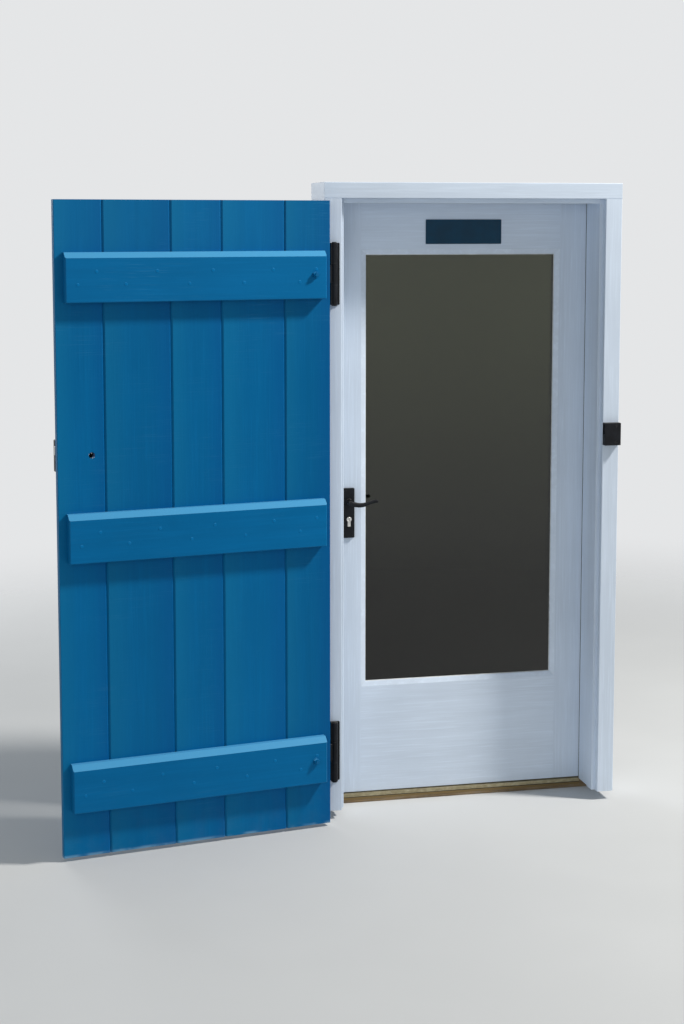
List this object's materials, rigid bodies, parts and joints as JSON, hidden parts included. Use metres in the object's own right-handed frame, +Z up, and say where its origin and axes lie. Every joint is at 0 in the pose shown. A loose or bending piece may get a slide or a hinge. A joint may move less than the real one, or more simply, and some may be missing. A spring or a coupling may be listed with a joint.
{
  "type": "stable door set",
  "caption": "Timber door set: a deep frame holds a glazed inner door and a full-height ledged and boarded outer leaf that stands open on cranked band hinges.",
  "frame": {"origin": "mid-width on the underside of the sill, in the plane of the glazed door's outer face", "axes": "+X to the right seen from outside, +Y into the building, +Z up"},
  "size_m": [1.9057, 0.5074, 2.115],
  "materials": {
    "white_paint": "brushed white exterior paint on timber",
    "blue_paint": "satin blue exterior paint on timber",
    "black_iron": "black powder-coated iron",
    "sill_timber": "oiled hardwood",
    "threshold_metal": "bronze anodised",
    "seal_rubber": "matt black rubber",
    "glazing_tape": "black foam tape",
    "glass": "clear float glass with a dark room behind it",
    "spacer_metal": "dark anodised",
    "lock_steel": "satin stainless steel",
    "bolt_steel": "bright steel",
    "cylinder_nickel": "satin nickel",
    "nameplate_blue": "dark blue enamel"
  },
  "bodies": {
    "frame": {"outer_jamb_left": "white_paint", "outer_jamb_right": "white_paint", "outer_head": "white_paint", "inner_jamb_left": "white_paint", "inner_jamb_right": "white_paint", "inner_head": "white_paint", "sill": "sill_timber", "threshold_bar": "threshold_metal", "door_seal": "seal_rubber", "hinge_plate_upper": "black_iron", "hinge_plate_lower": "black_iron", "hinge_pin_upper": "black_iron", "hinge_pin_lower": "black_iron", "box_keep": "black_iron", "frame_screws": "black_iron", "strike_plate": "lock_steel", "butt_hinge_frame_halves": "lock_steel", "butt_hinge_pins": "lock_steel"},
    "boarded_leaf": {"board_1": "blue_paint", "board_2": "blue_paint", "board_3": "blue_paint", "board_4": "blue_paint", "board_5": "blue_paint", "ledge_bottom": "blue_paint", "ledge_middle": "blue_paint", "ledge_top": "blue_paint", "hinge_band_lower": "black_iron", "hinge_band_upper": "black_iron", "coach_bolts": "black_iron", "coach_nuts": "blue_paint", "rim_lock_case": "black_iron", "leaf_screws": "black_iron"},
    "rim_bolt": {"rim_bolt": "bolt_steel"},
    "glazed_door": {"lock_stile": "white_paint", "hinge_stile": "white_paint", "top_rail": "white_paint", "bottom_rail": "white_paint", "outer_pane": "glass", "inner_pane": "glass", "glazing_spacer": "spacer_metal", "glazing_tape": "glazing_tape", "setting_blocks": "seal_rubber", "glazing_beads": "white_paint", "nameplate": "nameplate_blue", "lock_case": "lock_steel", "lock_forend": "lock_steel", "cylinder_body": "cylinder_nickel", "key_plug": "cylinder_nickel", "lever_plate_outer": "black_iron", "lever_plate_inner": "black_iron", "butt_hinge_door_halves": "lock_steel"},
    "levers": {"lever_outer": "black_iron", "lever_inner": "black_iron", "spindle": "lock_steel", "follower": "lock_steel"},
    "latch": {"latch_bolt": "bolt_steel"},
    "thumb_turn": {"thumb_turn": "cylinder_nickel", "cylinder_cam": "lock_steel"},
    "dead_bolt": {"dead_bolt": "bolt_steel"}
  },
  "joints": [
    {"name": "boarded_leaf_hinge", "type": "hinge", "parent": "frame", "child": "boarded_leaf", "pos_m": [-0.4805, -0.18, 1], "axis": [0, 0, 1], "range_deg": [0, 170]},
    {"name": "rim_bolt_slide", "type": "slide", "parent": "boarded_leaf", "child": "rim_bolt", "axis": [-0.9848, -0.1736, 0], "range_m": [0, 0.014]},
    {"name": "glazed_door_hinge", "type": "hinge", "parent": "frame", "child": "glazed_door", "pos_m": [0.4505, 0.0502, 1], "axis": [0, 0, -1], "range_deg": [0, 100]},
    {"name": "lever_turn", "type": "hinge", "parent": "glazed_door", "child": "levers", "pos_m": [-0.392, 0.022, 1.045], "axis": [0, 1, 0], "range_deg": [0, 35], "stiffness_Nm_per_rad": 1, "springref_deg": -20.05},
    {"name": "latch_slide", "type": "slide", "parent": "glazed_door", "child": "latch", "axis": [-1, 0, 0], "range_m": [0, 0.011]},
    {"name": "thumb_turn_spin", "type": "hinge", "parent": "glazed_door", "child": "thumb_turn", "pos_m": [-0.392, 0.022, 0.988], "axis": [0, 1, 0], "range_deg": [0, 365]},
    {"name": "dead_bolt_slide", "type": "slide", "parent": "glazed_door", "child": "dead_bolt", "axis": [-1, 0, 0], "range_m": [0, 0.014]}
  ],
  "couplings": [
    {"joint": "thumb_turn_spin", "follows": "dead_bolt_slide", "rad_per_m": 448.79}
  ]
}
